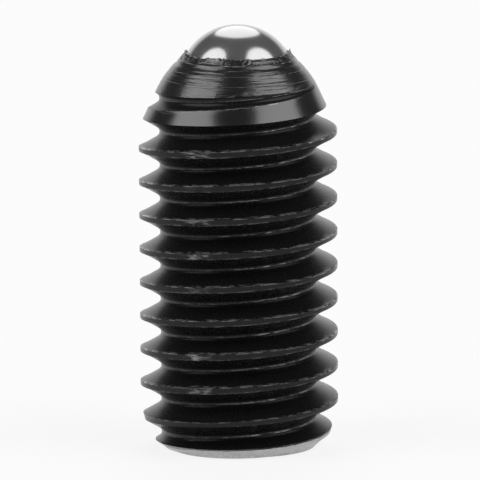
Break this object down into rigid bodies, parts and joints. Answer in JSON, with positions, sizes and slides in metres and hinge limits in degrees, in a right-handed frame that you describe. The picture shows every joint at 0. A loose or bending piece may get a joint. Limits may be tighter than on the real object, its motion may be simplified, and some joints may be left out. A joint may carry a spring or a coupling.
{
  "type": "ball spring plunger",
  "caption": "Headless threaded ball plunger: a domed nose holds a sprung steel ball behind a rolled lip, and the flat rear end has a hexagon socket for the key.",
  "frame": {"origin": "centre of the flat rear end, which has the hexagon socket and which the plunger stands on", "axes": "+Z along the screw's axis from the flat rear end to the ball; the first crest of the right-hand thread crosses the +X side 0.414 mm above the origin"},
  "size_m": [0.0058, 0.0058, 0.0126],
  "materials": {
    "black_oxide_steel": "black oxide over turned and threaded steel",
    "polished_steel": "hardened and polished",
    "spring_steel": "drawn wire"
  },
  "bodies": {
    "screw": {"body": "black_oxide_steel", "spring": "spring_steel"},
    "plunger": {"ball": "polished_steel"}
  },
  "joints": [
    {"name": "ball_slide", "type": "slide", "parent": "screw", "child": "plunger", "axis": [0, 0, -1], "range_m": [0, 0.0008], "stiffness_N_per_m": 6490, "deforming": ["spring"]}
  ]
}
